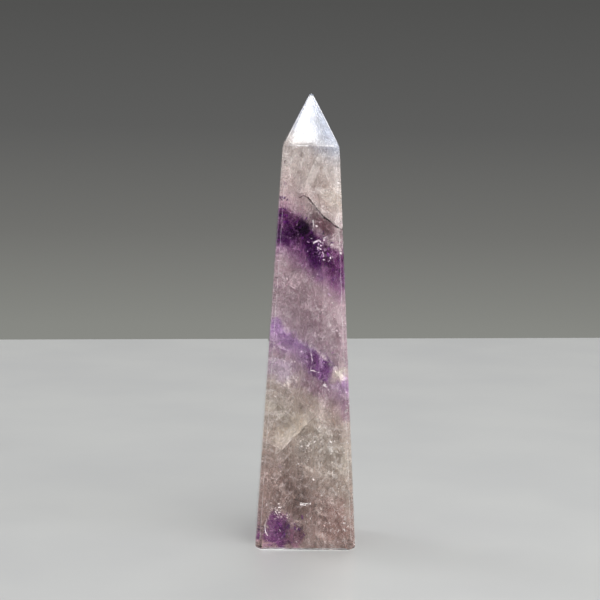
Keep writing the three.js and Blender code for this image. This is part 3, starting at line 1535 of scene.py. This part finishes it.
@dataclass(frozen=True)
class FractureRibbon:
    """A fracture seen almost edge on, so that it reads as a line or a narrow ribbon.

    Its route is its line on the front face. It runs into the stone between two shares of
    the stone's half depth, below zero in front, and drops and slides aside on its way.
    """

    name: str
    look: Look
    route_mm: Sequence[Pair]
    near: float = -0.94
    far: float = -0.9
    drop_mm: float = 0.0
    slide_mm: float = 0.0
    sway_mm: float = 0.25
    turns: int = 0
    shades: bool = False
    wave_length: float = 3.0 * MM
    inset: float = 0.3 * MM
    lowest: float = 0.12 * MM
    depth_pace: float = 0.2
    steps_along: int = 60
    steps_inwards: int = 14

    def build(self, form: StoneForm, seed: int, material: Material) -> Thing:
        """Makes the fracture and dresses it.

        Args:
            form: The cut form.
            seed: The seed for its waves.
            material: What it is dressed in.

        Returns:
            The piece.
        """
        route = np.array(self.route_mm, float) * MM
        length = np.concatenate([[0], np.cumsum(np.linalg.norm(np.diff(route, axis=0), axis=1))])
        along = np.linspace(0, length[-1], self.steps_along)
        x, z = (np.interp(along, length, part) for part in route.T)
        waves = Waves(seed, self.sway_mm * MM, self.wave_length)
        rows = []
        for step in np.linspace(0, 1, self.steps_inwards):
            share = self.near + (self.far - self.near) * step
            drift = waves.at(along, np.full_like(along, self.depth_pace * share * form.base_half))
            level = np.maximum(z - self.drop_mm * MM * step + drift, self.lowest)
            width = form.half(level) - self.inset
            aside = np.clip(x + self.slide_mm * MM * step, -width, width)
            rows.append(np.column_stack([aside, share * width, level]))
        spin = np.array(Matrix.Rotation(self.turns * QUARTER, 3, "Z"))
        faces = grid_faces(self.steps_inwards, self.steps_along)
        return mesh_object(self.name, np.concatenate(rows) @ spin.T, faces, material, shades=self.shades)


# The ribbons in the glint look are white sheets that paint glints; the others are the stone's own fractures
# and stains.
FRACTURES = (
    FractureRibbon("crack_upper", Look.DARK,
                   ((-0.6, 93.0), (0.2, 92.2), (0.9, 91.2), (3.6, 88.1), (8.2, 84.5)),
                   -0.97, -0.6, 0.55, sway_mm=0.3, shades=True),
    FractureRibbon("ribbon_lower", Look.PALE, ((-8.2, 24.8), (-5.0, 28.2), (-1.5, 31.8), (2.4, 36.2)),
                   -0.96, -0.5, -3.4),
    FractureRibbon("ribbon_right", Look.PALE, ((7.4, 31.0), (9.0, 33.4), (10.6, 36.0)), -0.95, -0.6, -2.2),
    FractureRibbon("line_middle", Look.GLINT, ((0.5, 52.4), (1.0, 50.2), (0.6, 47.4), (2.9, 46.9)),
                   -0.95, -0.9, -0.2, 0.2),
    FractureRibbon("glint_core", Look.GLINT, ((0.4, 84.2), (0.7, 85.8), (0.5, 87.4)),
                   -0.94, -0.85, -0.1, 0.4),
    FractureRibbon("glint_band_1", Look.GLINT, ((0.9, 80.8), (2.4, 81.5), (3.6, 80.9)), drop_mm=-0.5),
    FractureRibbon("glint_band_2", Look.GLINT, ((1.8, 79.9), (3.0, 79.2)), drop_mm=-0.4, slide_mm=0.1),
    FractureRibbon("glint_band_3", Look.GLINT, ((3.4, 82.2), (4.4, 82.6)), drop_mm=-0.3),
    FractureRibbon("glint_band_4", Look.GLINT, ((3.2, 78.8), (3.6, 77.5)), drop_mm=-0.1, slide_mm=0.3),
    FractureRibbon("strand_left", Look.PALE, ((-4.8, 84.8), (-3.2, 83.6), (-1.9, 81.6)),
                   -0.94, -0.85, -0.3, 0.4),
    FractureRibbon("streak_base", Look.GLINT, ((-10.4, 8.2), (-10.9, 6.4), (-10.7, 4.6), (-10.0, 3.4)),
                   -0.96, -0.9, -0.1, 0.25),
    FractureRibbon("dash_low", Look.GLINT, ((-1.6, 11.8), (-0.2, 11.8), (1.3, 11.9)), -0.95, -0.9, -0.6),
    FractureRibbon("wedge_upper", Look.FAINT,
                   ((-0.6, 93.0), (0.9, 91.2), (3.6, 88.1), (5.8, 86.3), (8.2, 84.5)), -0.94, 0.1, -7.0),
    FractureRibbon("beam_upper", Look.PALE, ((-2.9, 94.2), (-0.6, 98.6), (1.8, 104.4)),
                   -0.9, -0.75, 0.0, 2.2),
    FractureRibbon("wedge_side", Look.FAINT, ((1.0, 107.0), (3.5, 100.0), (5.0, 96.0), (8.4, 92.5)),
                   -0.9, -0.1, -5.0),
    FractureRibbon("stain_left", Look.DARK, ((-6.95, 101.8), (-6.8, 102.7)), -0.96, -0.9, 0.0, 0.3),
    FractureRibbon("cross_right_1", Look.PALE, ((6.4, 48.4), (7.6, 46.6), (9.2, 44.8)),
                   -0.94, -0.86, -0.5, 1.0),
    FractureRibbon("cross_right_2", Look.PALE, ((9.4, 48.6), (8.0, 46.6), (6.6, 45.2)),
                   -0.94, -0.86, -0.5, 1.0),
    FractureRibbon("crack_arch", Look.DARK, ((-3.0, 93.0), (-1.9, 93.7), (-0.6, 93.0)), -0.96, -0.94, 0.25),
    FractureRibbon("glint_mid", Look.GLINT, ((3.4, 42.7), (4.2, 43.4), (5.0, 42.9)), drop_mm=-0.8),
    FractureRibbon("glint_edge", Look.GLINT, ((9.7, 36.0), (10.5, 36.7)), -0.95, -0.9, -0.7),
)
FRACTURE_SEED = 8
RISES = tuple(
    FractureRibbon(f"veil_rise_{turn + 1}", Look.LOW, ((-11.4, 0.3), (11.4, 0.3)), -0.93, -0.25, -2.6,
                   sway_mm=0.2, turns=turn)
    for turn in range(4))
RISE_SEED = 31


@dataclass(frozen=True)
class EdgeLine:
    """One edge of the cut form, from end to end, and the way it faces."""

    start: Place
    end: Place
    outward: Place
    width: float


@dataclass
class EdgeHighlightStrips:
    """Painted highlights: faint pale strips along the stone's edges, just under its polish, standing in for
    the light its rounded edges catch.
    """

    form: StoneForm
    depth: float = 0.3 * MM
    shoulder_width: float = 0.34 * MM
    hip_width: float = 0.22 * MM
    corner_width: float = 0.07 * MM
    foot_width: float = 0.3 * MM
    reach: Pair = (0.02, 0.96)
    steps: int = 30

    def front_edges(self) -> list[EdgeLine]:
        """The edges that belong to the front side and the corner at its right.

        Returns:
            The shoulder, the hip, the chamfer's two edges and the foot's bevel.
        """
        form = self.form
        side, base, cut = form.shoulder_half, form.base_half, form.chamfer
        high, bevel, tip = form.shoulder_height, form.base_bevel, form.tip_half
        foot, hip = base - bevel / 2, side - form.point_taper * MM
        return [
            EdgeLine((-side + cut, -side, high), (side - cut, -side, high), (0, -0.96, 0.27),
                     self.shoulder_width),
            EdgeLine((hip, -hip, high + MM), (tip, -tip, form.height), (0.62, -0.62, 0.46), self.hip_width),
            EdgeLine((base - cut, -base, bevel), (side - cut, -side, high), (0.38, -0.92, 0.0),
                     self.corner_width),
            EdgeLine((base, cut - base, bevel), (side, cut - side, high), (0.92, -0.38, 0.0),
                     self.corner_width),
            EdgeLine((cut - foot, -foot, bevel / 2), (foot - cut, -foot, bevel / 2), (0, -0.71, -0.71),
                     self.foot_width),
        ]

    def strip(self, edge: EdgeLine, spin: np.ndarray) -> Sheet:
        """The strip of painted highlight along one edge.

        Args:
            edge: The edge, as it lies on the front side.
            spin: The turn to the edge's own side.

        Returns:
            The strip.
        """
        places = np.array([edge.start, edge.end, edge.outward], float)
        start, end, outward = places @ spin.T
        outward /= np.linalg.norm(outward)
        along = (end - start) / np.linalg.norm(end - start)
        aside = np.cross(along, outward) * edge.width / 2
        share = np.linspace(*self.reach, self.steps)[:, None]
        middle = start + share * (end - start) - outward * self.depth
        return np.concatenate([middle - aside, middle + aside]), grid_faces(2, self.steps)

    def build(self, material: Material) -> Thing:
        """Makes the painted highlight strips of all four sides as one piece and dresses it.

        Args:
            material: What it is dressed in.

        Returns:
            The piece.
        """
        spins = [np.array(Matrix.Rotation(turn * QUARTER, 3, "Z")) for turn in range(4)]
        strips = [self.strip(edge, spin) for spin in spins for edge in self.front_edges()]
        return mesh_object("painted_edge_highlights", *join_sheets(strips), material, shades=False)


def direction_from(azimuth: float, elevation: float) -> Vector:
    """The way from the stone to a place around it.

    Args:
        azimuth: 0 in front of the stone, 90 to its right, in degrees.
        elevation: The height above the horizon, in degrees.

    Returns:
        The direction, of length 1.
    """
    turn, rise = math.radians(azimuth), math.radians(elevation)
    return Vector((math.sin(turn) * math.cos(rise), -math.cos(turn) * math.cos(rise), math.sin(rise)))


@dataclass(frozen=True)
class SoftLight:
    """A soft square light that looks at the middle of the stone."""

    name: str
    azimuth: float
    elevation: float
    distance: float
    size: float
    watts: float

    def build(self, middle: Vector) -> Thing:
        """Makes the light.

        Args:
            middle: The middle of the stone.

        Returns:
            The light's object.
        """
        light = bpy.data.lights.new(self.name, "AREA")
        light.shape = "SQUARE"
        light.size = self.size
        light.energy = self.watts
        lamp = bpy.data.objects.new(self.name, light)
        bpy.context.scene.collection.objects.link(lamp)
        away = direction_from(self.azimuth, self.elevation)
        lamp.location = middle + away * self.distance
        lamp.rotation_mode = "QUATERNION"
        lamp.rotation_quaternion = (-away).to_track_quat("-Z", "Y")
        return lamp


@dataclass(frozen=True)
class Viewpoint:
    """The camera's place and lens, as fitted to the photograph's frame."""

    azimuth: float = -2.0
    elevation: float = 6.5
    roll: float = 0.935
    distance: float = 0.45
    pixels_per_unit: float = 1677.0
    frame_pixels: float = 600.0
    middle_x: float = 307.8
    middle_y: float = 319.0
    sensor_width: float = 36.0
    nearest: float = 0.01

    def build(self, middle: Vector) -> Thing:
        """Makes the camera and sets it as the scene's.

        Args:
            middle: The middle of the stone, which shows at middle_x and middle_y.

        Returns:
            The camera's object.
        """
        data = bpy.data.cameras.new("camera")
        data.sensor_width = self.sensor_width
        data.lens = self.pixels_per_unit * self.sensor_width / self.frame_pixels
        data.clip_start = self.nearest
        camera = bpy.data.objects.new("camera", data)
        bpy.context.scene.collection.objects.link(camera)
        away = direction_from(self.azimuth, self.elevation)
        camera.location = middle + away * self.distance
        turn = (-away).to_track_quat("-Z", "Y").to_matrix()
        right, up = turn @ Vector((1, 0, 0)), turn @ Vector((0, 1, 0))
        half, per_pixel = self.frame_pixels / 2, self.distance / self.pixels_per_unit
        aim = middle - right * (self.middle_x - half) * per_pixel + up * (self.middle_y - half) * per_pixel
        look = (aim - camera.location).to_track_quat("-Z", "Y").to_matrix()
        camera.rotation_euler = (look @ Matrix.Rotation(math.radians(self.roll), 3, "Z")).to_euler()
        bpy.context.scene.camera = camera
        return camera


@dataclass
class Studio:
    """The floor, the surroundings, the soft light and the camera."""

    form: StoneForm
    floor_half: float = 0.43
    floor_turn: float = 7.0
    floor_drop: float = 0.05 * MM
    lights: tuple[SoftLight, ...] = (
        SoftLight("key", 0.5, 57.1, 1.0, 0.1, 0.68),
        SoftLight("wash", 24.0, 40.0, 1.0, 0.6, 4.0),
        SoftLight("side", 62.0, 34.0, 0.9, 0.4, 1.8),
        SoftLight("far_side", -120.0, 40.0, 1.0, 0.4, 1.8),
        SoftLight("behind", 165.0, 45.0, 1.0, 0.4, 2.0),
    )
    sky: tuple[tuple[float, Colour], ...] = (
        (-0.3, srgb(140, 140, 136)), (-0.12, srgb(136, 137, 132)), (-0.06, srgb(112, 112, 109)),
        (0.0, srgb(93, 93, 92)), (0.08, srgb(80, 80, 79)), (0.3, srgb(92, 92, 91)),
        (0.55, srgb(206, 206, 205)), (1.0, srgb(236, 236, 236)),
    )

    def build_floor(self) -> Thing:
        """Makes the square pale floor, turned so that its far edge looks level.

        Returns:
            The floor.
        """
        turn = math.radians(self.floor_turn)
        along = np.array([math.cos(turn), math.sin(turn), 0.0]) * self.floor_half
        across = np.array([-math.sin(turn), math.cos(turn), 0.0]) * self.floor_half
        drop = np.array([0, 0, self.floor_drop])
        points = np.array([-along - across, along - across, along + across, across - along]) - drop
        finish = FloorFinish().material("pale_floor")
        floor = mesh_object("floor", points, [[0, 1, 2, 3]], finish, smooth=False)
        return floor

    def build_world(self) -> None:
        """Makes the surroundings: a dark backdrop low down and soft light overhead."""
        world = bpy.data.worlds.new("studio")
        bpy.context.scene.world = world
        world.use_nodes = True
        bench = NodeBench(world.node_tree)
        rise = bench.axes(bench.add("ShaderNodeTexCoord").outputs["Generated"])["Z"]
        share = bench.span(rise, -1, 1, smooth=False)
        ramp = bench.ramp(share, [((height + 1) / 2, opaque(colour)) for height, colour in self.sky])
        bench.wire(world.node_tree.nodes["Background"], {"Color": ramp.outputs["Color"], "Strength": 1.0})

    def build(self) -> None:
        """Makes the whole studio and sets how light is followed and shown."""
        middle = Vector((0, 0, 0.5 * self.form.height))
        Viewpoint().build(middle)
        self.build_floor()
        self.build_world()
        for light in self.lights:
            light.build(middle)
        scene = bpy.context.scene
        scene.view_settings.view_transform = "Standard"
        scene.cycles.max_bounces = 32
        scene.cycles.diffuse_bounces = 8
        scene.cycles.glossy_bounces = 12
        scene.cycles.transmission_bounces = 28
        scene.cycles.transparent_max_bounces = 96


def keep(piece: Thing) -> Thing:
    """Fixes a finished piece to the frame and reports it.

    Args:
        piece: The piece.

    Returns:
        The same piece.
    """
    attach(piece, BODY)
    LOG.info("%s: %d faces", piece.name, len(piece.data.polygons))
    return piece


def main() -> None:
    """Builds the studio and the stone, from its skin inwards."""
    logging.basicConfig(level=logging.INFO, format="%(name)s %(message)s")
    form = StoneForm.of_node(NODE)
    Studio(form).build()
    shape = StoneSkin(form)
    skin = keep(shape.build(PolishedSkin().material("polished_quartz")))
    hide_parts(NODE)
    for zone in ZONES:
        for slab in zone.build(form):
            keep(slab)
    materials = inner_materials(StoneColours().group())
    carriers = []
    for family in VEILS:
        veil = keep(family.build(form, materials[family.look]))
        if family.carries:
            carriers.append(veil)
    for scatter in SCATTERS:
        keep(scatter.build(shape, carriers, materials[scatter.look]))
    for first_seed, ribbons in ((FRACTURE_SEED, FRACTURES), (RISE_SEED, RISES)):
        for seed, ribbon in enumerate(ribbons, first_seed):
            keep(ribbon.build(form, seed, materials[ribbon.look]))
    # Pale strips along the edges paint the highlights that the rounded edges catch.
    keep(EdgeHighlightStrips(form).build(materials[Look.EDGE_HIGHLIGHT]))


if __name__ == "__main__":
    main()
